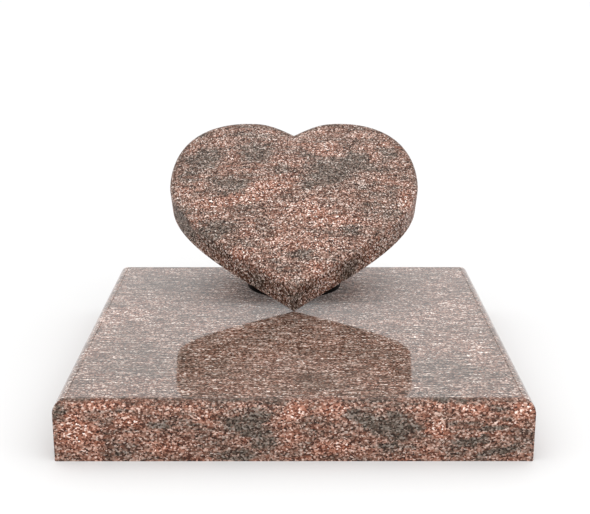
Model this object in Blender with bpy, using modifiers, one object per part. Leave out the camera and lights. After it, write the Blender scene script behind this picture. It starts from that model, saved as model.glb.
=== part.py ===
"""Heart headstone: a heart-shaped stone leaning back on a round support, on a square base plate.

Lengths are metres. +Z is up, the heart faces -Y, and the origin is the middle of the plate's underside.
"""

import math

import bmesh
import bpy
from mathutils import Euler, Vector
from mathutils.geometry import interpolate_bezier

# Base plate
PLATE_WIDTH = 0.600
PLATE_DEPTH = 0.600
PLATE_HEIGHT = 0.080
PLATE_TOP_ROUND = 0.015       # quarter round along the top edges
PLATE_ARRIS = 0.002           # small arris on the upright edges
PLATE_ROUND_STEPS = 6

# Heart stone, measured along and across the stone itself
HEART_WIDTH = 0.392
HEART_HEIGHT = 0.3255         # tip to the top of the lobes
HEART_RIM = 0.066             # thickness at the rim
HEART_CROWN = 0.014           # rise of the domed face above its rim
HEART_SLOPE = math.radians(40)
HEART_FRONT_ROUND = 0.008
HEART_BACK_ROUND = 0.005
HEART_SETBACK = 0.349         # plate's front face to the heart's lowest point

# Support under the heart's back
SUPPORT_DIAMETER = 0.152
SUPPORT_SETBACK = 0.1405      # heart's lowest point to the support's axis

# Bedding gap between two stones that rest on each other
BED_GAP = 0.0003

# Half outline of the heart, as shares of half the width and of the height:
# anchor, handle towards it, handle away from it
TIP = (0.0, 0.0)
TIP_OUT = (0.332, 0.155)
WIDEST_IN = (1.0, 0.374)
WIDEST = (1.0, 0.612)
WIDEST_OUT = (1.0, 0.911)
LOBE_IN = (0.669, 1.0)
LOBE = (0.387, 1.0)
LOBE_OUT = (0.265, 1.0)
CLEFT_IN = (0.203, 0.998)
CLEFT = (0.0, 0.922)

# How finely the heart is divided
FLANK_STEPS = 14              # tip to widest
SHOULDER_STEPS = 12           # widest to the top of the lobe
CLEFT_STEPS = 6               # top of the lobe to the cleft
FRONT_ROUND_STEPS = 4
BACK_ROUND_STEPS = 3
CROWN_RINGS = 7

# The domed face's rings shrink towards this height share and turn from a heart into an ellipse
CROWN_CENTRE = 0.56
CROWN_ELLIPSE = (0.78, 0.38)  # half axes, as shares of half the width and of the height
CROWN_ROUNDING = 3            # how soon the rings lose the heart's tip and cleft

SUPPORT_SIDES = 64


def clear_scene():
    for item in list(bpy.data.objects):
        bpy.data.objects.remove(item, do_unlink=True)


def new_collection(name):
    collection = bpy.data.collections.new(name)
    bpy.context.scene.collection.children.link(collection)
    return collection


def stone(name, colour, roughness):
    material = bpy.data.materials.new(name)
    material.use_nodes = True
    shader = material.node_tree.nodes["Principled BSDF"]
    shader.inputs["Base Color"].default_value = (*colour, 1.0)
    shader.inputs["Roughness"].default_value = roughness
    shader.inputs["Metallic"].default_value = 0.0
    return material


def add_object(name, bm, material, collection):
    mesh = bpy.data.meshes.new(name)
    bm.to_mesh(mesh)
    bm.free()
    mesh.materials.append(material)
    item = bpy.data.objects.new(name, mesh)
    collection.objects.link(item)
    return item


def half_outline():
    """Points of the right half, from the tip up and round to the cleft."""
    def place(share):
        return Vector((share[0] * HEART_WIDTH / 2, share[1] * HEART_HEIGHT, 0))

    spans = (
        (TIP, TIP_OUT, WIDEST_IN, WIDEST, FLANK_STEPS),
        (WIDEST, WIDEST_OUT, LOBE_IN, LOBE, SHOULDER_STEPS),
        (LOBE, LOBE_OUT, CLEFT_IN, CLEFT, CLEFT_STEPS),
    )
    points = []
    for start, leave, arrive, end, steps in spans:
        curve = interpolate_bezier(place(start), place(leave), place(arrive), place(end), steps + 1)
        points += curve[:-1]
    points.append(place(CLEFT))
    return points


def inset_half(points, inset):
    """The half outline moved inward, with its two ends kept on the mirror line."""
    moved = []
    for index, point in enumerate(points):
        before = points[max(index - 1, 0)]
        after = points[min(index + 1, len(points) - 1)]
        along = (after - before).normalized()
        inward = Vector((-along.y, along.x, 0))
        if index in (0, len(points) - 1):
            moved.append(Vector((0, point.y + inset / inward.y, 0)))
        else:
            moved.append(point + inward * inset)
    return moved


def mirror_ring(half):
    """A closed ring from a right half: up the right side and down the left."""
    left = [Vector((-point.x, point.y, 0)) for point in half[1:-1]]
    return half + left[::-1]


def round_edge(half, radius, base, rising, steps):
    """Rings over a quarter round: into the rim from the back, or out of it to the front."""
    rings = []
    for step in range(steps + 1):
        turn = math.pi / 2 * step / steps
        if rising:
            inset = radius * (1 - math.sin(turn))
            depth = base + radius * (1 - math.cos(turn))
        else:
            inset = radius * (1 - math.cos(turn))
            depth = base - radius * (1 - math.sin(turn))
        rings.append([point + Vector((0, 0, depth)) for point in mirror_ring(inset_half(half, inset))])
    return rings


def crown_rings(edge):
    """Rings over the domed face, each higher, smaller and rounder than the last, and its top."""
    rim_middle = Vector((0, CROWN_CENTRE * HEART_HEIGHT, edge[0].z))
    across = CROWN_ELLIPSE[0] * HEART_WIDTH / 2
    along = CROWN_ELLIPSE[1] * HEART_HEIGHT
    rings = []
    for step in range(1, CROWN_RINGS + 1):
        share = 1 - step / (CROWN_RINGS + 1)
        lift = Vector((0, 0, HEART_CROWN * (1 - share ** 2)))
        ring = []
        for point in edge:
            arm = point - rim_middle
            angle = math.atan2(arm.y / along, arm.x / across)
            oval = Vector((across * math.cos(angle), along * math.sin(angle), 0))
            ring.append(rim_middle + share * oval.lerp(arm, share ** CROWN_ROUNDING) + lift)
        rings.append(ring)
    return rings, rim_middle + Vector((0, 0, HEART_CROWN))


def heart_rings():
    """Rings across the stone, from its flat back to its domed face, and the top of the dome."""
    half = half_outline()
    rings = round_edge(half, HEART_BACK_ROUND, 0, True, BACK_ROUND_STEPS)
    rings += round_edge(half, HEART_FRONT_ROUND, HEART_RIM, False, FRONT_ROUND_STEPS)
    crown, peak = crown_rings(rings[-1])
    return rings + crown, peak


def loft(rings, last_point):
    """A closed body over the rings: a flat first ring, and a fan to a point over the last."""
    bm = bmesh.new()
    rows = [[bm.verts.new(point) for point in ring] for ring in rings]
    count = len(rows[0])
    bm.faces.new(rows[0][::-1])
    for lower, upper in zip(rows, rows[1:]):
        for index in range(count):
            following = (index + 1) % count
            bm.faces.new((lower[index], lower[following], upper[following], upper[index]))
    peak = bm.verts.new(last_point)
    for index in range(count):
        bm.faces.new((rows[-1][index], rows[-1][(index + 1) % count], peak))
    return bm


def build_heart(collection):
    rings, peak = heart_rings()
    bm = loft(rings, peak)
    granite = stone("polished_red_granite", (0.27, 0.17, 0.14), 0.15)
    heart = add_object("heart_stone", bm, granite, collection)

    # Leans back by its slope, with its lowest point a bedding gap above the plate
    turn = Euler((HEART_SLOPE, 0, 0)).to_matrix()
    lowest = min((turn @ point for ring in rings for point in ring), key=lambda point: point.z)
    foot = Vector((0, HEART_SETBACK - PLATE_DEPTH / 2, PLATE_HEIGHT + BED_GAP))
    heart.rotation_euler = (HEART_SLOPE, 0, 0)
    heart.location = (0, foot.y - lowest.y, foot.z - lowest.z)
    heart.data.shade_smooth()
    heart.data.set_sharp_from_angle(angle=math.radians(35))
    return heart


def build_plate(collection):
    bm = bmesh.new()
    bmesh.ops.create_cube(bm, size=1)
    bmesh.ops.scale(bm, vec=(PLATE_WIDTH, PLATE_DEPTH, PLATE_HEIGHT), verts=bm.verts)
    granite = stone("polished_red_granite_plate", (0.27, 0.17, 0.14), 0.15)
    plate = add_object("base_plate", bm, granite, collection)
    plate.location = (0, 0, PLATE_HEIGHT / 2)

    weights = plate.data.attributes.new("bevel_weight_edge", "FLOAT", "EDGE")
    for edge in plate.data.edges:
        ends = [plate.data.vertices[index].co for index in edge.vertices]
        if all(end.z > 0 for end in ends):
            weights.data[edge.index].value = 1.0
        elif ends[0].z * ends[1].z < 0:
            weights.data[edge.index].value = PLATE_ARRIS / PLATE_TOP_ROUND
    bevel = plate.modifiers.new("rounded edges", "BEVEL")
    bevel.limit_method = "WEIGHT"
    bevel.width = PLATE_TOP_ROUND
    bevel.segments = PLATE_ROUND_STEPS
    bevel.use_clamp_overlap = False
    return plate


def build_support(collection, heart):
    radius = SUPPORT_DIAMETER / 2
    axis_y = HEART_SETBACK - PLATE_DEPTH / 2 + SUPPORT_SETBACK
    foot = PLATE_HEIGHT + BED_GAP
    tall = HEART_HEIGHT
    bm = bmesh.new()
    bmesh.ops.create_cone(bm, cap_ends=True, segments=SUPPORT_SIDES, radius1=radius, radius2=radius, depth=tall)
    bmesh.ops.translate(bm, vec=(0, 0, tall / 2), verts=bm.verts)

    # Cut to the slope of the heart's back, a bedding gap below it
    out_of_face = Vector((0, -math.sin(HEART_SLOPE), math.cos(HEART_SLOPE)))
    on_plane = Vector(heart.location) - out_of_face * BED_GAP - Vector((0, axis_y, foot))
    cut = bmesh.ops.bisect_plane(
        bm, geom=bm.verts[:] + bm.edges[:] + bm.faces[:], plane_co=on_plane, plane_no=out_of_face, clear_outer=True)
    rim = [item for item in cut["geom_cut"] if isinstance(item, bmesh.types.BMEdge)]
    bmesh.ops.contextual_create(bm, geom=rim)
    bmesh.ops.recalc_face_normals(bm, faces=bm.faces)
    granite = stone("honed_black_granite", (0.01, 0.01, 0.01), 0.5)
    support = add_object("round_support", bm, granite, collection)
    support.location = (0, axis_y, foot)
    support.data.shade_smooth()
    support.data.set_sharp_from_angle(angle=math.radians(30))
    return support


def main():
    clear_scene()
    parts = new_collection("heart_headstone")
    build_plate(parts)
    heart = build_heart(parts)
    build_support(parts, heart)


main()
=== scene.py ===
"""Heart headstone in polished red-grey gneissic granite, leaning on a black granite block on a base plate.

Lengths are metres unless a name says millimetres. +Z is up, and the heart faces -Y.
"""

import math

import bmesh
import bpy
from bpy.props import FloatProperty, FloatVectorProperty, PointerProperty
from mathutils import Euler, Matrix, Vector
from mathutils.geometry import interpolate_bezier


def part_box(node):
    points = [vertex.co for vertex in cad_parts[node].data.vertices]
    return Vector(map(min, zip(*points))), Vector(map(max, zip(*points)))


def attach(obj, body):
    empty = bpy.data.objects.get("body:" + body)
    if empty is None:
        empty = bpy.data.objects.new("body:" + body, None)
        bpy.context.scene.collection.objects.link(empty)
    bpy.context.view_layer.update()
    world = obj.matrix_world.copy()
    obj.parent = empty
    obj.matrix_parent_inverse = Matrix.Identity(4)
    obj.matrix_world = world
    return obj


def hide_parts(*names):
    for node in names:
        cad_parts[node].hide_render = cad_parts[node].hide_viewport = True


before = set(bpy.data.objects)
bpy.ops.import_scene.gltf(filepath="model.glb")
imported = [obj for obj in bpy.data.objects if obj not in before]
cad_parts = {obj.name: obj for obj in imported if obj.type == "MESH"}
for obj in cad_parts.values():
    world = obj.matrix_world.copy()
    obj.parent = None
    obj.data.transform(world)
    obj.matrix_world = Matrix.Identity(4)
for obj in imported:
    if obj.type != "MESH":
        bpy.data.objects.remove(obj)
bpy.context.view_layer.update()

bl_info = {
    "name": "Heart headstone",
    "version": (1, 0, 0),
    "blender": (4, 5, 0),
    "location": "3D View > Sidebar > Headstone",
    "description": "Dresses the heart headstone in polished granite and sets it on a pale studio floor",
    "category": "Add Mesh",
}

PLATE_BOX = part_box("base_plate")
SUPPORT_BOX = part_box("round_support")

# The gap between two stones that rest on each other. It is half of the solids' gap, because the finer rounds
# here reach a little higher and lower than the solids' rounds.
BED_GAP = 0.00015

# Half outline of the heart, as shares of half the width and of the height:
# anchor, handle towards it, handle away from it
TIP = (0.0, 0.0)
TIP_OUT = (0.332, 0.155)
WIDEST_IN = (1.0, 0.374)
WIDEST = (1.0, 0.612)
WIDEST_OUT = (1.0, 0.911)
LOBE_IN = (0.669, 1.0)
LOBE = (0.387, 1.0)
LOBE_OUT = (0.265, 1.0)
CLEFT_IN = (0.203, 0.998)
CLEFT = (0.0, 0.922)

# How finely the heart is divided
SPAN_SAMPLES = 240            # samples along each span before a ring is cut and divided
RING_POINTS = 112             # points of half a ring
FRONT_ROUND_STEPS = 8
BACK_ROUND_STEPS = 6
CROWN_RINGS = 40
RIM_STRIPS = BACK_ROUND_STEPS + 3   # strips between rings, from the back to the front round
RIM_GUARD = 0.0015            # rings this close to the rounds keep the shading of the rim flat
HEART_CREASE = math.radians(35)   # edges sharper than this stay sharp

# The domed face's rings shrink towards this height share and turn from a heart into an ellipse
CROWN_CENTRE = 0.56
CROWN_ELLIPSE = (0.78, 0.38)
CROWN_ROUNDING = 3

PLATE_ROUND_STEPS = 16
ROUND_SLOPE = (0.01, 0.99)    # how far up the faces of the plate's rounds look, from level to straight up
SUPPORT_SIDES = 160
SUPPORT_CREASE = math.radians(30)
MM = 0.001


def linear(hex_colour):
    """An sRGB colour such as "#aa6655" as linear red, green and blue."""
    values = [int(hex_colour[start:start + 2], 16) / 255 for start in (1, 3, 5)]
    return tuple(v / 12.92 if v <= 0.04045 else ((v + 0.055) / 1.055) ** 2.4 for v in values)


def length_property(name, description, default):
    return FloatProperty(name=name, description=description, default=default, min=0.0, precision=4,
                         subtype="DISTANCE", unit="LENGTH")


def colour_property(name, description, hex_colour):
    return FloatVectorProperty(name=name, description=description, default=linear(hex_colour), size=3,
                               min=0.0, max=1.0, subtype="COLOR")


def amount_property(name, description, default, unit="NONE"):
    return FloatProperty(name=name, description=description, default=default, min=0.0, unit=unit)


class PlateSizes(bpy.types.PropertyGroup):
    width: length_property("Width", "Across the plate", PLATE_BOX[1].x - PLATE_BOX[0].x)
    depth: length_property("Depth", "Front to back", PLATE_BOX[1].y - PLATE_BOX[0].y)
    height: length_property("Height", "Underside to top face", PLATE_BOX[1].z - PLATE_BOX[0].z)
    top_round: length_property("Top round", "Radius along the top edges", 0.015)
    arris: length_property("Arris", "Radius of the upright edges", 0.002)


class HeartSizes(bpy.types.PropertyGroup):
    width: length_property("Width", "Across the two lobes", 0.392)
    height: length_property("Height", "Tip to the top of the lobes, along the stone", 0.3255)
    rim: length_property("Rim", "Thickness at the rim", 0.066)
    crown: length_property("Crown", "Rise of the domed face above its rim", 0.014)
    front_round: length_property("Front round", "Radius between rim and face", 0.008)
    back_round: length_property("Back round", "Radius between rim and back", 0.005)
    setback: length_property("Setback", "Plate's front face to the heart's lowest point", 0.349)
    slope: FloatProperty(name="Slope", description="Lean of the stone, measured from level",
                         default=math.radians(40), subtype="ANGLE", unit="ROTATION")


class SupportSizes(bpy.types.PropertyGroup):
    diameter: length_property("Diameter", "Across the round block", SUPPORT_BOX[1].x - SUPPORT_BOX[0].x)
    setback: length_property("Setback", "Heart's lowest point to the block's axis", 0.1405)


class GraniteColours(bpy.types.PropertyGroup):
    biotite: colour_property("Biotite", "Black mica flakes", "#170c07")
    hornblende: colour_property("Hornblende", "Dark grains in the grey bands", "#31271f")
    quartz: colour_property("Quartz", "Smoky grey glassy grains", "#5a5047")
    plagioclase: colour_property("Plagioclase", "Grey feldspar", "#8d837b")
    pale_plagioclase: colour_property("Pale plagioclase", "Lightest grains of the grey bands", "#cec3bb")
    garnet: colour_property("Garnet", "Dark red grains in the red bands", "#4e2316")
    red_feldspar: colour_property("Red feldspar", "Brick red grains", "#814935")
    salmon_feldspar: colour_property("Salmon feldspar", "Salmon pink grains", "#b0765f")
    pink_feldspar: colour_property("Pink feldspar", "Pale pink grains", "#dcb09d")
    white_feldspar: colour_property("White feldspar", "Nearly white crystals", "#fff4ec")


class SupportColours(bpy.types.PropertyGroup):
    ground: colour_property("Ground", "Black granite", "#080504")
    fleck: colour_property("Fleck", "Dark grey flecks in it", "#15110f")


class StageLook(bpy.types.PropertyGroup):
    floor: colour_property("Floor", "Pale matt floor", "#dbdbdb")
    horizon: amount_property("Horizon", "Brightness of the white surround at eye level", 1.0)
    zenith: amount_property("Zenith", "Brightness of the white surround overhead", 1.66)
    side_softbox: amount_property("Side softbox", "Power of the one on the right, in watts", 4.0, "POWER")
    front_softbox: amount_property("Front softbox", "Power of the low one in front, in watts", 9.2, "POWER")


# Materials


def add_node(tree, kind, inputs=None, **settings):
    """Adds a node with its settings; each input takes a value, an output, or a node for its first output."""
    node = tree.nodes.new(kind)
    for name, value in settings.items():
        setattr(node, name, value)
    for socket, value in (inputs or {}).items():
        if isinstance(value, bpy.types.Node):
            value = value.outputs[0]
        if isinstance(value, bpy.types.NodeSocket):
            tree.links.new(value, node.inputs[socket])
        else:
            node.inputs[socket].default_value = value
    return node


def new_material(name):
    material = bpy.data.materials.new(name)
    material.use_nodes = True
    material.node_tree.nodes.clear()
    return material


def fill_ramp(node, stops, interpolation):
    """Sets a colour ramp's stops from (position, linear colour) pairs."""
    ramp = node.color_ramp
    ramp.interpolation = interpolation
    while len(ramp.elements) > 1:
        ramp.elements.remove(ramp.elements[-1])
    ramp.elements[0].position = stops[0][0]
    ramp.elements[0].color = (*stops[0][1], 1.0)
    for position, colour in stops[1:]:
        element = ramp.elements.new(position)
        element.color = (*colour, 1.0)


# Patches of colour in a stone, in millimetres of its own frame: redder above 0, darker below it.
# (centre), (half sizes), turn about the stone's depth in degrees, strength
HEART_PATCHES = (
    ((-58, 255, 66), (30, 24, 40), 0, -1.0),
    ((-100, 192, 66), (36, 18, 40), -8, -1.0),
    ((-164, 212, 66), (18, 18, 40), 0, -0.7),
    ((49, 208, 66), (50, 38, 40), 10, -1.1),
    ((98, 228, 66), (38, 12, 40), -12, -0.8),
    ((-116, 109, 66), (34, 20, 40), 0, -0.9),
    ((-49, 108, 66), (20, 26, 40), 10, -0.6),
    ((88, 106, 66), (14, 11, 40), 15, -0.9),
    ((13, 59, 66), (20, 15, 40), 0, -0.9),
    ((121, 149, 66), (22, 17, 40), 0, -0.6),
    ((-45, 182, 66), (28, 15, 40), 0, 1.1),
    ((-112, 157, 66), (50, 13, 40), 4, 1.1),
    ((-174, 180, 60), (15, 18, 40), 0, 0.4),
    ((22, 149, 66), (18, 14, 40), 0, 0.8),
    ((50, 123, 66), (38, 17, 40), -10, 1.1),
    ((-85, 69, 66), (27, 12, 40), 8, 1.1),
    ((31, 36, 66), (18, 13, 40), 0, 1.0),
    ((-162, 261, 60), (12, 14, 40), 0, 0.7),
    ((58, 263, 66), (24, 18, 40), 0, 0.6),
    ((125, 255, 66), (24, 14, 40), -10, 0.6),
    ((154, 102, 60), (12, 17, 40), 0, 0.9),
    ((-140, 245, 66), (34, 34, 40), 0, -0.8),
    ((-78, 159, 66), (42, 13, 40), 0, 0.6),
    ((148, 130, 66), (18, 18, 40), 0, -0.3),
    ((108, 236, 66), (60, 46, 40), 0, -0.25),
    # Painted shade: darkens the upper left rim
    ((-176, 132, 34), (22, 44, 34), 0, -1.5),
    ((-19, 218, 66), (18, 14, 40), 0, -0.8),
    ((21, 249, 66), (20, 12, 40), 0, -0.5),
    ((102, 247, 66), (22, 14, 40), 0, -0.9),
    ((148, 255, 66), (22, 16, 40), 0, -0.7),
    ((20, 186, 66), (16, 12, 40), 0, -0.5),
    ((60, 130, 66), (16, 12, 40), 0, -0.7),
    ((-19, 180, 66), (16, 10, 40), 0, 0.5),
    ((-84, 76, 66), (34, 12, 40), 0, -0.7),
    # Painted shade: darkens the lower left rim
    ((-58, 40, 26), (22, 12, 26), 0, -0.8),
    ((84, 62, 26), (18, 14, 26), 0, -1.4),
    ((50, 34, 22), (16, 12, 26), 0, 0.5),
    # Painted shade: darkens the rim at the tip
    ((2, 2, 30), (18, 10, 26), 0, -0.7),
    ((176, 165, 66), (18, 34, 40), 0, 0.8),
    ((0, 112, 66), (70, 60, 40), 0, 0.25),
    ((8, 78, 66), (60, 14, 40), 0, 0.4),
    # Painted light: lightens and reddens the right rim
    ((118, 88, 24), (18, 14, 30), 0, 0.6),
)
PLATE_PATCHES = (
    ((-275, -290, 40), (18, 40, 34), 0, 1.2),
    ((-239, -293, 74), (32, 14, 8), 0, 1.0),
    ((-209, -295, 56), (16, 30, 10), 0, 0.9),
    ((-296, -295, 67), (12, 20, 9), 0, -0.9),
    ((-61, -295, 49), (38, 40, 16), 8, -1.0),
    ((-36, -295, 27), (22, 40, 15), 0, -0.8),
    ((-74, -295, 8), (36, 30, 8), 0, -0.9),
    ((-166, -295, 48), (18, 30, 10), 0, -0.7),
    ((4, -295, 66), (20, 25, 14), 0, 1.3),
    ((46, -295, 70), (22, 25, 10), 0, 1.2),
    ((45, -295, 16), (30, 40, 12), 0, 0.6),
    ((-110, -295, 59), (18, 30, 12), 0, 0.6),
    ((122, -295, 47), (44, 40, 17), 4, -1.0),
    ((82, -295, 60), (20, 30, 9), 20, -0.9),
    ((181, -295, 45), (13, 30, 14), -30, 1.1),
    ((228, -295, 68), (26, 30, 9), 0, 0.9),
    ((282, -285, 66), (22, 40, 15), 0, 1.1),
    ((247, -295, 46), (20, 30, 5), -14, -1.2),
    ((225, -295, 28), (30, 30, 6), -14, -1.2),
    ((255, -295, 15), (32, 30, 6), -12, -1.1),
    ((192, -290, 80), (20, 30, 6), 0, -0.8),
    ((-282, 20, 80), (30, 52, 30), 0, 0.8),
    ((-250, 48, 80), (36, 30, 30), 0, 0.6),
    ((250, 70, 80), (34, 42, 30), 0, 0.8),
    ((195, 28, 80), (36, 26, 30), 0, 0.6),
    ((250, -125, 80), (22, 45, 30), 0, 0.7),
    ((-205, -160, 80), (70, 80, 30), 0, -0.7),
    ((195, -195, 80), (60, 55, 30), 0, -0.7),
    ((-200, 190, 80), (80, 50, 30), 0, -0.7),
    ((-33, -138, 80), (26, 40, 30), 0, 0.6),
    ((34, -228, 80), (40, 30, 30), 0, -0.7),
    ((-253, -295, 34), (18, 30, 20), 0, 0.8),
    ((-166, -295, 20), (24, 30, 12), 0, 0.7),
    ((-42, -295, 62), (18, 30, 10), 0, -0.7),
    ((2, -295, 30), (18, 30, 20), 0, 0.4),
    ((126, -295, 20), (24, 30, 10), 0, -0.6),
)


# What the stone is like all through, in millimetres. It was squeezed, so its patterns are drawn out across
# it: an ACROSS value is a pattern's height as a share of its length.
EDGE_BEND = 22                # size of the bends in the edges of bands and patches
EDGE_PUSH = (44, 26, 26)      # how far the bends push them
BAND_HEIGHT = 30
BAND_ACROSS = 0.45
BAND_STRENGTH = 0.4
STREAK_HEIGHT = 6
STREAK_ACROSS = 0.16
STREAK_STRENGTH = 0.45
ROW_HEIGHT = 2.5
ROW_ACROSS = 0.08
PATCH_FADE = (0.35, 1.25)     # shares of a patch's half size between which it fades out
NOISE_SPAN = (0.3, 0.7)       # nearly all values of a noise lie between these

# Bands, patches and streaks add up to a redness. Its span sets how much red feldspar there is, and how far
# the dark grains gain on the pale ones.
REDNESS_SPAN = (-1.1, 1.1)
THINNING_SPAN = (-1.2, 1.0)
RED_THINNING = 1.04
STAIN_SPREAD = 0.18           # how much more or less than its band a single grain is stained by iron

GRANITE_IOR = 1.54
GRAIN_RELIEF = 0.3            # strength of the bump
MICA_SPAN = (0.1, 0.25)       # the share of grains that are mica ends between these

# Roughness of mica and of feldspar, specular level, and how deep the grains stand out, in metres
FINISHES = {
    "polished": (0.08, 0.045, 0.5, 0.000002),
    "satin": (0.45, 0.34, 0.18, 0.00005),
    "honed": (0.6, 0.5, 0.04, 0.00008),
    "sawn": (0.62, 0.5, 0.3, 0.0004),
}

# Painted shade on the plate's top under the heart, made by lowering its specular level where the sky is
# hidden:
# how far up something hides the sky, in metres, the open share of sky where the shade is full and where
# there is none, the specular level under it, the millimetres behind the plate's middle between which it
# deepens, and the share of it that lies in front of them
OCCLUSION_REACH = 0.25
OCCLUSION_SAMPLES = 8
FULL_SHADE_OPEN = 0.4
NO_SHADE_OPEN = 0.85
SHADED_SPECULAR = 0.02
SHADE_REACH = (45, 105)
FRONT_SHADE = 0.3

# Millimetres up the heart between which its honed rim is drawn towards one even tone, and how far and
# towards which tone
EVENED_REACH = (140, 230)
EVENED_SHARE = 0.45
EVENED_TONE = 0.42

# What differs between the two stones, which come from different blocks of the same rock. Grains are in
# millimetres, a little longer across, and in the heart far longer through its depth. Lightness, redness and
# the strength of the rows of grains go by finish. A line of painted shade along the rounds has its Z in the
# stone's own frame, the reach over which it fades, and the span of Y in which it sets in, all in
# millimetres.
PLATE_STONE = {
    "name": "plate",
    "patches": PLATE_PATCHES,
    "patch_turn_axis": 1,
    "grain": 1.8,
    "grain_scale": (0.8, 1.0, 1.0),
    "lightness": {"polished": (0.08, 0.95), "satin": (0.04, 0.95), "sawn": (0.04, 0.95)},
    "dark_band": 0.78,
    "redness": {"polished": (0.12, 0.45), "satin": (0.0, 0.8), "sawn": (0.0, 0.8)},
    "rows": {"polished": 0.16, "satin": 0.0, "sawn": 0.0},
    "round_shade": {"height": 80, "reach": (1, 6), "along": (-400, -390), "share": 0.35},
}
HEART_STONE = {
    "name": "heart",
    "patches": HEART_PATCHES,
    "patch_turn_axis": 2,
    "grain": 1.3,
    "grain_scale": (0.8, 1.0, 0.45),
    "lightness": {"satin": (-0.04, 1.0), "honed": (-0.12, 1.1), "sawn": (-0.04, 1.0)},
    "dark_band": 0.85,
    "redness": {"satin": (0.06, 0.7), "honed": (0.06, 0.7), "sawn": (0.06, 0.7)},
    "rows": {"satin": 0.06, "honed": 0.0, "sawn": 0.0},
    "round_shade": {"height": 62.5, "reach": (3, 4.5), "along": (130, 230), "share": 0.42},
}


def bent(tree, place, size, push, detail, roughness):
    """The place pushed about by a noise, so that what is drawn there gets wandering edges."""
    noise = add_node(tree, "ShaderNodeTexNoise", {
        "Vector": place, "Scale": 1 / size, "Detail": detail, "Roughness": roughness})
    centred = add_node(tree, "ShaderNodeVectorMath", {
        0: noise.outputs["Color"], 1: (0.5, 0.5, 0.5)}, operation="SUBTRACT")
    return add_node(tree, "ShaderNodeVectorMath", {0: centred, 1: push, 2: place}, operation="MULTIPLY_ADD")


def drawn_out(tree, place, height, across, strength, detail, roughness=0.5, clamp=False):
    """A noise from -strength to strength, about as high as given and longer across."""
    stretched = add_node(tree, "ShaderNodeMapping", {"Vector": place, "Scale": (across, 1, 1)})
    noise = add_node(tree, "ShaderNodeTexNoise", {
        "Vector": stretched, "Scale": 1 / height, "Detail": detail, "Roughness": roughness})
    return add_node(tree, "ShaderNodeMapRange", {
        "Value": noise, "From Min": NOISE_SPAN[0], "From Max": NOISE_SPAN[1],
        "To Min": -strength, "To Max": strength}, clamp=clamp)


def patch_sum(tree, place, patches, axis):
    """Adds up the soft-edged patches: a value that is above 0 in red ones and below 0 in dark ones."""
    total = None
    for centre, half, turn, strength in patches:
        rotation = [0.0, 0.0, 0.0]
        rotation[axis] = math.radians(turn)
        local = add_node(tree, "ShaderNodeMapping", {
            "Vector": place, "Location": centre, "Rotation": rotation, "Scale": half}, vector_type="TEXTURE")
        reach = add_node(tree, "ShaderNodeVectorMath", {0: local}, operation="LENGTH")
        soft = add_node(tree, "ShaderNodeMapRange", {
            "Value": reach.outputs["Value"], "From Min": PATCH_FADE[0], "From Max": PATCH_FADE[1],
            "To Min": strength, "To Max": 0.0}, interpolation_type="SMOOTHSTEP")
        if total is None:
            total = soft
        else:
            total = add_node(tree, "ShaderNodeMath", {0: total, 1: soft}, operation="ADD")
    return total


def stone_redness(tree, place, stone):
    """Bands, patches and thin streaks: from about -1.2 in the dark grey ones to 1 in the red ones."""
    pushed = bent(tree, place, EDGE_BEND, EDGE_PUSH, detail=4.0, roughness=0.65)
    bands = drawn_out(tree, pushed, BAND_HEIGHT, BAND_ACROSS, BAND_STRENGTH, detail=3.0, roughness=0.6)
    patches = patch_sum(tree, pushed, stone["patches"], stone["patch_turn_axis"])
    patched = add_node(tree, "ShaderNodeMath", {0: bands, 1: patches}, operation="ADD")
    streaks = drawn_out(tree, place, STREAK_HEIGHT, STREAK_ACROSS, STREAK_STRENGTH, detail=2.0)
    return add_node(tree, "ShaderNodeMath", {0: patched, 1: streaks}, operation="ADD")


def stone_grains(tree, place, stone):
    """Grains with ragged outlines: random values, one set for each grain."""
    size = stone["grain"]
    torn = bent(tree, place, size, (size, size, size), detail=1.0, roughness=0.5)
    lying = add_node(tree, "ShaderNodeMapping", {"Vector": torn, "Scale": stone["grain_scale"]})
    grain = add_node(tree, "ShaderNodeTexVoronoi", {"Vector": lying, "Scale": 1 / size})
    return add_node(tree, "ShaderNodeSeparateColor", {"Color": grain.outputs["Color"]})


def stone_mineral(tree, place, parts, draw, redness, stone, finish):
    """Each grain draws its mineral, from 0, darkest, to 1, palest; dark bands have more dark ones."""
    thinning = add_node(tree, "ShaderNodeMapRange", {
        "Value": redness, "From Min": THINNING_SPAN[0], "From Max": THINNING_SPAN[1],
        "To Min": stone["dark_band"], "To Max": RED_THINNING})
    darkest, lightest = stone["lightness"][finish]
    drawn = add_node(tree, "ShaderNodeMapRange", {
        "Value": draw.outputs["Red"], "To Min": darkest, "To Max": lightest})
    mineral = add_node(tree, "ShaderNodeMath", {0: drawn, 1: thinning}, operation="MULTIPLY")
    if finish == "honed":
        # The upper half of the rim is drawn towards one even tone, which evens out its grains
        evened = add_node(tree, "ShaderNodeMapRange", {
            "Value": parts.outputs["Y"], "From Min": EVENED_REACH[0], "From Max": EVENED_REACH[1],
            "To Max": EVENED_SHARE})
        mineral = add_node(tree, "ShaderNodeMix", {0: evened, 2: mineral, 3: EVENED_TONE})
    if stone["rows"][finish]:
        # Single rows of grains are lighter or darker together
        rows = drawn_out(tree, place, ROW_HEIGHT, ROW_ACROSS, stone["rows"][finish], detail=0.0, clamp=True)
        mineral = add_node(tree, "ShaderNodeMath", {0: mineral, 1: rows}, operation="ADD", use_clamp=True)
    return mineral


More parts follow.
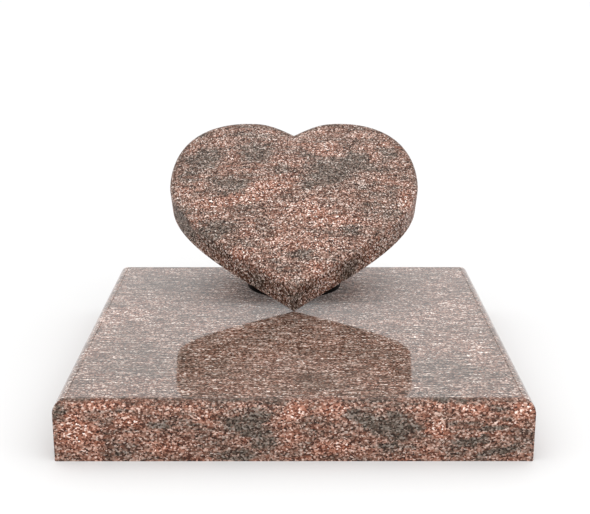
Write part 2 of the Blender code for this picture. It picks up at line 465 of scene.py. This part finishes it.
def stone_colour(tree, mineral, draw, redness, stone, finish, colours):
    """The mineral's colour, in grey and in red bands: iron stains whole bands, and single grains vary."""
    grey_ramp = add_node(tree, "ShaderNodeValToRGB", {"Fac": mineral})
    fill_ramp(grey_ramp, (
        (0.0, colours.biotite), (0.22, colours.hornblende), (0.5, colours.quartz),
        (0.78, colours.plagioclase), (0.92, colours.pale_plagioclase),
        (1.0, colours.white_feldspar)), "LINEAR")
    red_ramp = add_node(tree, "ShaderNodeValToRGB", {"Fac": mineral})
    fill_ramp(red_ramp, (
        (0.0, colours.biotite), (0.12, colours.garnet), (0.38, colours.red_feldspar),
        (0.68, colours.salmon_feldspar), (0.9, colours.pink_feldspar),
        (1.0, colours.white_feldspar)), "LINEAR")
    greyest, reddest = stone["redness"][finish]
    red_share = add_node(tree, "ShaderNodeMapRange", {
        "Value": redness, "From Min": REDNESS_SPAN[0], "From Max": REDNESS_SPAN[1],
        "To Min": greyest, "To Max": reddest}, interpolation_type="SMOOTHSTEP")
    stain = add_node(tree, "ShaderNodeMapRange", {
        "Value": draw.outputs["Green"], "To Min": -STAIN_SPREAD, "To Max": STAIN_SPREAD})
    stained = add_node(tree, "ShaderNodeMath", {0: red_share, 1: stain}, operation="ADD", use_clamp=True)
    mixed = add_node(tree, "ShaderNodeMix", {0: stained, 6: grey_ramp, 7: red_ramp}, data_type="RGBA")
    return mixed.outputs[2]


def painted_round_shade(tree, parts, surface, round_shade, colours):
    """Painted shade along the rounds: a line along them is darker and greyer than the rest."""
    above = add_node(tree, "ShaderNodeMath", {
        0: parts.outputs["Z"], 1: round_shade["height"]}, operation="SUBTRACT")
    off_line = add_node(tree, "ShaderNodeMath", {0: above}, operation="ABSOLUTE")
    line = add_node(tree, "ShaderNodeMapRange", {
        "Value": off_line, "From Min": round_shade["reach"][0], "From Max": round_shade["reach"][1],
        "To Min": round_shade["share"], "To Max": 0.0})
    onset = add_node(tree, "ShaderNodeMapRange", {
        "Value": parts.outputs["Y"], "From Min": round_shade["along"][0], "From Max": round_shade["along"][1]})
    share = add_node(tree, "ShaderNodeMath", {0: line, 1: onset}, operation="MULTIPLY")
    mixed = add_node(tree, "ShaderNodeMix", {
        0: share, 6: surface, 7: (*colours.hornblende, 1.0)}, data_type="RGBA")
    return mixed.outputs[2]


def painted_shade_mirror(tree, parts, specular):
    """The specular level of the plate's top, lowered under the heart where the sky is hidden: painted shade.
    """
    sky_occlusion = add_node(tree, "ShaderNodeAmbientOcclusion", {
        "Distance": OCCLUSION_REACH}, samples=OCCLUSION_SAMPLES)
    painted_shade = add_node(tree, "ShaderNodeMapRange", {
        "Value": sky_occlusion.outputs["AO"], "From Min": FULL_SHADE_OPEN, "From Max": NO_SHADE_OPEN,
        "To Min": 1.0, "To Max": 0.0})
    behind = add_node(tree, "ShaderNodeMapRange", {
        "Value": parts.outputs["Y"], "From Min": SHADE_REACH[0], "From Max": SHADE_REACH[1],
        "To Min": FRONT_SHADE, "To Max": 1.0}, interpolation_type="SMOOTHSTEP")
    shade_share = add_node(tree, "ShaderNodeMath", {0: painted_shade, 1: behind}, operation="MULTIPLY")
    return add_node(tree, "ShaderNodeMapRange", {
        "Value": shade_share, "To Min": specular, "To Max": SHADED_SPECULAR})


def gneissic_granite(stone, finish, colours, seat):
    """Red-grey gneissic granite: interlocking feldspar, quartz and dark grains, drawn out in soft bands.

    Polished, it is a mirror at a low angle. Satin, it only gleams there. Honed, it is matt and shows the
    full contrast of its grains. Sawn, it is matt and dusty, and its grains stand out."""
    material = new_material(f"{finish}_gneissic_granite_{stone['name']}")
    tree = material.node_tree
    location, rotation = seat
    where = add_node(tree, "ShaderNodeTexCoord")
    place = add_node(tree, "ShaderNodeMapping", {
        "Vector": where.outputs["Object"], "Location": location, "Rotation": rotation,
        "Scale": (MM, MM, MM)}, vector_type="TEXTURE")
    parts = add_node(tree, "ShaderNodeSeparateXYZ", {0: place})
    redness = stone_redness(tree, place, stone)
    draw = stone_grains(tree, place, stone)
    mineral = stone_mineral(tree, place, parts, draw, redness, stone, finish)
    surface = stone_colour(tree, mineral, draw, redness, stone, finish, colours)
    # Painted shade: the satin rounds get a darker, greyer line along them
    if finish == "satin":
        surface = painted_round_shade(tree, parts, surface, stone["round_shade"], colours)

    # Mica takes less polish than quartz and feldspar
    mica_roughness, feldspar_roughness, specular, relief = FINISHES[finish]
    gloss = add_node(tree, "ShaderNodeMapRange", {
        "Value": draw.outputs["Red"], "From Min": MICA_SPAN[0], "From Max": MICA_SPAN[1],
        "To Min": mica_roughness, "To Max": feldspar_roughness})
    bump = add_node(tree, "ShaderNodeBump", {
        "Height": draw.outputs["Red"], "Strength": GRAIN_RELIEF, "Distance": relief})
    # Painted shade: the polished top reflects less under the heart, where the sky is hidden
    mirror = painted_shade_mirror(tree, parts, specular) if finish == "polished" else specular
    shader = add_node(tree, "ShaderNodeBsdfPrincipled", {
        "Base Color": surface, "Roughness": gloss, "IOR": GRANITE_IOR, "Specular IOR Level": mirror,
        "Normal": bump})
    add_node(tree, "ShaderNodeOutputMaterial", {"Surface": shader})
    return material


# Grains of the black granite, in millimetres, the share of them that is ground, and its roughness and relief
BLACK_GRAIN = 1.6
BLACK_GROUND = 0.8
BLACK_ROUGHNESS = (0.55, 0.4)
BLACK_SPECULAR = 0.05
BLACK_RELIEF = 0.00005


def black_granite(name, colours):
    """Fine black granite, honed: a dull black, with barely lighter flecks that take a little more polish."""
    material = new_material(name)
    tree = material.node_tree
    where = add_node(tree, "ShaderNodeTexCoord")
    place = add_node(tree, "ShaderNodeMapping", {
        "Vector": where.outputs["Object"], "Scale": (MM, MM, MM)}, vector_type="TEXTURE")
    grain = add_node(tree, "ShaderNodeTexVoronoi", {"Vector": place, "Scale": 1 / BLACK_GRAIN})
    draw = add_node(tree, "ShaderNodeSeparateColor", {"Color": grain.outputs["Color"]})
    ramp = add_node(tree, "ShaderNodeValToRGB", {"Fac": draw.outputs["Red"]})
    fill_ramp(ramp, ((0.0, colours.ground), (BLACK_GROUND, colours.fleck)), "CONSTANT")
    gloss = add_node(tree, "ShaderNodeMapRange", {
        "Value": draw.outputs["Red"], "To Min": BLACK_ROUGHNESS[0], "To Max": BLACK_ROUGHNESS[1]})
    bump = add_node(tree, "ShaderNodeBump", {
        "Height": draw.outputs["Green"], "Strength": GRAIN_RELIEF, "Distance": BLACK_RELIEF})
    shader = add_node(tree, "ShaderNodeBsdfPrincipled", {
        "Base Color": ramp, "Roughness": gloss, "IOR": GRANITE_IOR, "Specular IOR Level": BLACK_SPECULAR,
        "Normal": bump})
    add_node(tree, "ShaderNodeOutputMaterial", {"Surface": shader})
    return material


# Shapes


def outline_samples(sizes):
    """Close samples of the right half outline, from the tip up and round to the cleft."""
    def place(share):
        return Vector((share[0] * sizes.width / 2, share[1] * sizes.height, 0))

    spans = (
        (TIP, TIP_OUT, WIDEST_IN, WIDEST),
        (WIDEST, WIDEST_OUT, LOBE_IN, LOBE),
        (LOBE, LOBE_OUT, CLEFT_IN, CLEFT),
    )
    samples = []
    for start, leave, arrive, end in spans:
        curve = interpolate_bezier(place(start), place(leave), place(arrive), place(end), SPAN_SAMPLES + 1)
        samples += curve[:-1]
    samples.append(place(CLEFT))
    return samples


def inset_half(samples, inset):
    """The half outline moved inward and cut on the mirror line, so that its tip stays a clean corner."""
    moved = []
    for index, point in enumerate(samples):
        before = samples[max(index - 1, 0)]
        after = samples[min(index + 1, len(samples) - 1)]
        along = (after - before).normalized()
        inward = Vector((-along.y, along.x, 0))
        moved.append(point + inward * inset)
        if index in (0, len(samples) - 1):
            moved[-1] = Vector((0, point.y + inset / inward.y, 0))
    kept = [point for point in moved[1:-1] if point.x > 0]
    return [moved[0]] + kept + [moved[-1]]


def divide(line, count):
    """Points along a line at even steps of its length."""
    reach = [0.0]
    for before, after in zip(line, line[1:]):
        reach.append(reach[-1] + (after - before).length)
    points = []
    index = 0
    for step in range(count):
        target = reach[-1] * step / (count - 1)
        while index < len(line) - 2 and reach[index + 1] < target:
            index += 1
        span = reach[index + 1] - reach[index]
        share = (target - reach[index]) / span if span else 0.0
        points.append(line[index].lerp(line[index + 1], min(max(share, 0.0), 1.0)))
    return points


def whole_ring(samples, inset, depth):
    """A closed ring at a depth: up the right side and down the left."""
    half = divide(inset_half(samples, inset), RING_POINTS)
    left = [Vector((-point.x, point.y, 0)) for point in half[1:-1]]
    return [point + Vector((0, 0, depth)) for point in half + left[::-1]]


def heart_rings(sizes):
    """Rings from the flat back over the rim and round to the domed face, and the top of the dome."""
    samples = outline_samples(sizes)
    rings = []
    for step in range(BACK_ROUND_STEPS + 1):
        turn = math.pi / 2 * step / BACK_ROUND_STEPS
        inset = sizes.back_round * (1 - math.sin(turn))
        rings.append(whole_ring(samples, inset, sizes.back_round * (1 - math.cos(turn))))
    rings.append(whole_ring(samples, 0, sizes.back_round + RIM_GUARD))
    rings.append(whole_ring(samples, 0, sizes.rim - sizes.front_round - RIM_GUARD))
    for step in range(FRONT_ROUND_STEPS + 1):
        turn = math.pi / 2 * step / FRONT_ROUND_STEPS
        inset = sizes.front_round * (1 - math.cos(turn))
        rings.append(whole_ring(samples, inset, sizes.rim - sizes.front_round * (1 - math.sin(turn))))

    edge = rings[-1]
    middle = Vector((0, CROWN_CENTRE * sizes.height, sizes.rim))
    across = CROWN_ELLIPSE[0] * sizes.width / 2
    along = CROWN_ELLIPSE[1] * sizes.height
    for step in range(1, CROWN_RINGS + 1):
        share = 1 - step / (CROWN_RINGS + 1)
        lift = Vector((0, 0, sizes.crown * (1 - share ** 2)))
        ring = []
        for point in edge:
            arm = point - middle
            angle = math.atan2(arm.y / along, arm.x / across)
            oval = Vector((across * math.cos(angle), along * math.sin(angle), 0))
            ring.append(middle + share * oval.lerp(arm, share ** CROWN_ROUNDING) + lift)
        rings.append(ring)
    return rings, middle + Vector((0, 0, sizes.crown))


def heart_seat(sizes, plate, rings):
    """The stone's turn, and its place with its lowest point a bedding gap above the plate."""
    turn = Euler((sizes.slope, 0, 0)).to_matrix()
    lowest = min((turn @ point for ring in rings for point in ring), key=lambda point: point.z)
    foot = Vector((0, sizes.setback - plate.depth / 2, plate.height + BED_GAP))
    return turn, Vector((0, foot.y - lowest.y, foot.z - lowest.z))


def add_piece(name, bm, materials, node):
    """Makes the mesh a piece that stands for its CAD node and rides on the stone's one body."""
    mesh = bpy.data.meshes.new(name)
    bm.to_mesh(mesh)
    bm.free()
    for material in materials:
        mesh.materials.append(material)
    piece = bpy.data.objects.new(name, mesh)
    bpy.context.scene.collection.objects.link(piece)
    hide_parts(node)
    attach(piece, "root")
    return piece


class HEADSTONE_OT_base_plate(bpy.types.Operator):
    """Make the polished base plate with its quarter round top edges"""

    bl_idname = "headstone.base_plate"
    bl_label = "Base Plate"

    def execute(self, context):
        sizes = context.scene.headstone_plate
        colours = context.scene.headstone_granite
        seat = ((0, 0, 0), (0, 0, 0))
        finishes = ("polished", "satin", "sawn")
        polished, satin, sawn = range(len(finishes))
        materials = [gneissic_granite(PLATE_STONE, finish, colours, seat) for finish in finishes]
        bm = bmesh.new()
        bmesh.ops.create_cube(bm, size=1)
        bmesh.ops.scale(bm, vec=(sizes.width, sizes.depth, sizes.height), verts=bm.verts)
        bmesh.ops.translate(bm, vec=(0, 0, sizes.height / 2), verts=bm.verts)
        for face in bm.faces:
            if face.normal.z > 0.5:
                face.material_index = polished
            elif face.normal.z < -0.5:
                face.material_index = sawn
            else:
                face.material_index = satin
            face.smooth = True
        for edge in bm.edges:
            edge.smooth = any(corner.co.z > 0 for corner in edge.verts)
        plate = add_piece("granite_base_plate", bm, materials, "base_plate")

        weights = plate.data.attributes.new("bevel_weight_edge", "FLOAT", "EDGE")
        middle = sizes.height / 2
        for edge in plate.data.edges:
            ends = [plate.data.vertices[index].co.z - middle for index in edge.vertices]
            if min(ends) > 0:
                weights.data[edge.index].value = 1.0
            elif ends[0] * ends[1] < 0:
                weights.data[edge.index].value = sizes.arris / sizes.top_round
        bevel = plate.modifiers.new("rounded edges", "BEVEL")
        bevel.limit_method = "WEIGHT"
        bevel.width = sizes.top_round
        bevel.segments = PLATE_ROUND_STEPS
        bevel.use_clamp_overlap = False
        bevel.harden_normals = True
        bevel.material = satin
        rounded = bpy.data.meshes.new_from_object(plate.evaluated_get(context.evaluated_depsgraph_get()))
        plate.modifiers.clear()
        plate.data = rounded
        # The rounds at the sides and back shine as the top does; the front one is as dull as the front face
        for face in rounded.polygons:
            in_round = ROUND_SLOPE[0] < face.normal.z < ROUND_SLOPE[1]
            if in_round and face.normal.y > -abs(face.normal.x):
                face.material_index = polished
        return {"FINISHED"}


class HEADSTONE_OT_heart_stone(bpy.types.Operator):
    """Make the leaning heart: flat back, straight rim, rounded arris and gently domed face"""

    bl_idname = "headstone.heart_stone"
    bl_label = "Heart Stone"

    def execute(self, context):
        sizes = context.scene.headstone_heart
        colours = context.scene.headstone_granite
        rings, peak = heart_rings(sizes)
        turn, place = heart_seat(sizes, context.scene.headstone_plate, rings)
        seat = (place, (sizes.slope, 0, 0))
        finishes = ("satin", "honed", "sawn")
        satin, honed, sawn = range(len(finishes))
        materials = [gneissic_granite(HEART_STONE, finish, colours, seat) for finish in finishes]

        bm = bmesh.new()
        rows = [[bm.verts.new(turn @ point + place) for point in ring] for ring in rings]
        count = len(rows[0])
        back = bm.faces.new(rows[0][::-1])
        back.material_index = sawn
        for number, (lower, upper) in enumerate(zip(rows, rows[1:])):
            for index in range(count):
                following = (index + 1) % count
                face = bm.faces.new((lower[index], lower[following], upper[following], upper[index]))
                face.material_index = honed if number < RIM_STRIPS else satin
        top = bm.verts.new(turn @ peak + place)
        for index in range(count):
            bm.faces.new((rows[-1][index], rows[-1][(index + 1) % count], top))
        heart = add_piece("granite_heart", bm, materials, "heart_stone")
        heart.data.shade_smooth()
        heart.data.set_sharp_from_angle(angle=HEART_CREASE)
        return {"FINISHED"}


class HEADSTONE_OT_round_support(bpy.types.Operator):
    """Make the round black block under the heart's back, cut to the heart's slope"""

    bl_idname = "headstone.round_support"
    bl_label = "Round Support"

    def execute(self, context):
        sizes = context.scene.headstone_support
        heart = context.scene.headstone_heart
        plate = context.scene.headstone_plate
        rings, _ = heart_rings(heart)
        _, place = heart_seat(heart, plate, rings)
        radius = sizes.diameter / 2
        axis = Vector((0, heart.setback - plate.depth / 2 + sizes.setback, plate.height + BED_GAP))
        bm = bmesh.new()
        bmesh.ops.create_cone(bm, cap_ends=True, segments=SUPPORT_SIDES, radius1=radius, radius2=radius,
                              depth=heart.height)
        bmesh.ops.translate(bm, vec=axis + Vector((0, 0, heart.height / 2)), verts=bm.verts)
        out_of_face = Vector((0, -math.sin(heart.slope), math.cos(heart.slope)))
        cut = bmesh.ops.bisect_plane(
            bm, geom=bm.verts[:] + bm.edges[:] + bm.faces[:], plane_co=place - out_of_face * BED_GAP,
            plane_no=out_of_face, clear_outer=True)
        rim = [item for item in cut["geom_cut"] if isinstance(item, bmesh.types.BMEdge)]
        bmesh.ops.contextual_create(bm, geom=rim)
        bmesh.ops.recalc_face_normals(bm, faces=bm.faces)
        material = black_granite("honed_black_granite_block", context.scene.headstone_support_colours)
        block = add_piece("black_granite_block", bm, (material,), "round_support")
        block.data.shade_smooth()
        block.data.set_sharp_from_angle(angle=SUPPORT_CREASE)
        # The black block is lost in the polished plate's mirror, which shows only the pale surround there
        block.visible_glossy = False
        return {"FINISHED"}


# The stage: half the floor's width, the two softboxes and what they aim at, and the camera
FLOOR_REACH = 30
SOFTBOX_SIZE = 1.6
SIDE_SOFTBOX_PLACE = (1.6, -1.2, 1.6)
FRONT_SOFTBOX_PLACE = (0.3, -2.6, 0.9)
SOFTBOX_AIM = Vector((0, 0, 0.15))
CAMERA_PLACE = (0, -1.6057, 0.6394)
CAMERA_TILT_DOWN = 15.958     # degrees
CAMERA_TURN = -0.05           # degrees
CAMERA_LENS = 69.716          # millimetres
CAMERA_SENSOR = 36            # millimetres
CAMERA_CLIP = (0.05, 200)


class HEADSTONE_OT_stage(bpy.types.Operator):
    """Set up the pale floor, the white surround, the two softboxes and the camera"""

    bl_idname = "headstone.stage"
    bl_label = "Stage"

    def execute(self, context):
        look = context.scene.headstone_stage
        scene = context.scene
        bm = bmesh.new()
        bmesh.ops.create_grid(bm, x_segments=1, y_segments=1, size=FLOOR_REACH)
        mesh = bpy.data.meshes.new("pale_floor")
        bm.to_mesh(mesh)
        bm.free()
        paint = new_material("matt_white_floor_paint")
        tree = paint.node_tree
        shader = add_node(tree, "ShaderNodeBsdfDiffuse", {"Color": (*look.floor, 1.0)})
        add_node(tree, "ShaderNodeOutputMaterial", {"Surface": shader})
        mesh.materials.append(paint)
        floor = bpy.data.objects.new("pale_floor", mesh)
        scene.collection.objects.link(floor)

        world = bpy.data.worlds.new("white_surround")
        world.use_nodes = True
        tree = world.node_tree
        tree.nodes.clear()
        where = add_node(tree, "ShaderNodeTexCoord")
        height = add_node(tree, "ShaderNodeSeparateXYZ", {0: where.outputs["Generated"]})
        rising = add_node(tree, "ShaderNodeMapRange", {
            "Value": height.outputs["Z"], "To Min": look.horizon, "To Max": look.zenith})
        background = add_node(tree, "ShaderNodeBackground", {
            "Color": (1.0, 1.0, 1.0, 1.0), "Strength": rising})
        add_node(tree, "ShaderNodeOutputWorld", {"Surface": background})
        scene.world = world

        for name, power, place in (("side_softbox", look.side_softbox, SIDE_SOFTBOX_PLACE),
                                   ("front_softbox", look.front_softbox, FRONT_SOFTBOX_PLACE)):
            softbox = bpy.data.lights.new(name, "AREA")
            softbox.shape = "SQUARE"
            softbox.size = SOFTBOX_SIZE
            softbox.energy = power
            lamp = bpy.data.objects.new(name, softbox)
            lamp.location = place
            lamp.rotation_euler = (SOFTBOX_AIM - lamp.location).to_track_quat("-Z", "Y").to_euler()
            scene.collection.objects.link(lamp)

        camera_data = bpy.data.cameras.new("front_camera")
        camera_data.sensor_width = CAMERA_SENSOR
        camera_data.lens = CAMERA_LENS
        camera_data.clip_start, camera_data.clip_end = CAMERA_CLIP
        camera = bpy.data.objects.new("front_camera", camera_data)
        camera.location = CAMERA_PLACE
        camera.rotation_euler = (math.radians(90 - CAMERA_TILT_DOWN), 0, math.radians(CAMERA_TURN))
        scene.collection.objects.link(camera)
        scene.camera = camera
        scene.view_settings.view_transform = "Standard"
        return {"FINISHED"}


class HEADSTONE_PT_sidebar(bpy.types.Panel):
    """The pieces and the stage, each with its sizes and colours"""

    bl_idname = "HEADSTONE_PT_sidebar"
    bl_label = "Heart Headstone"
    bl_space_type = "VIEW_3D"
    bl_region_type = "UI"
    bl_category = "Headstone"

    def draw(self, context):
        layout = self.layout
        for operator, group in SECTIONS:
            box = layout.box()
            box.operator(operator)
            for name in group:
                settings = getattr(context.scene, name)
                for key in settings.bl_rna.properties.keys():
                    if key not in ("rna_type", "name"):
                        box.prop(settings, key)


GROUPS = {
    "headstone_plate": PlateSizes,
    "headstone_heart": HeartSizes,
    "headstone_support": SupportSizes,
    "headstone_granite": GraniteColours,
    "headstone_support_colours": SupportColours,
    "headstone_stage": StageLook,
}
SECTIONS = (
    ("headstone.base_plate", ("headstone_plate", "headstone_granite")),
    ("headstone.heart_stone", ("headstone_heart",)),
    ("headstone.round_support", ("headstone_support", "headstone_support_colours")),
    ("headstone.stage", ("headstone_stage",)),
)
OPERATORS = (
    HEADSTONE_OT_base_plate,
    HEADSTONE_OT_heart_stone,
    HEADSTONE_OT_round_support,
    HEADSTONE_OT_stage,
)
CLASSES = (*GROUPS.values(), *OPERATORS, HEADSTONE_PT_sidebar)


def register():
    for cls in CLASSES:
        bpy.utils.register_class(cls)
    for name, group in GROUPS.items():
        setattr(bpy.types.Scene, name, PointerProperty(type=group))


def unregister():
    for name in GROUPS:
        delattr(bpy.types.Scene, name)
    for cls in reversed(CLASSES):
        bpy.utils.unregister_class(cls)


def main():
    register()
    bpy.ops.headstone.base_plate()
    bpy.ops.headstone.heart_stone()
    bpy.ops.headstone.round_support()
    bpy.ops.headstone.stage()


if __name__ == "__main__":
    main()
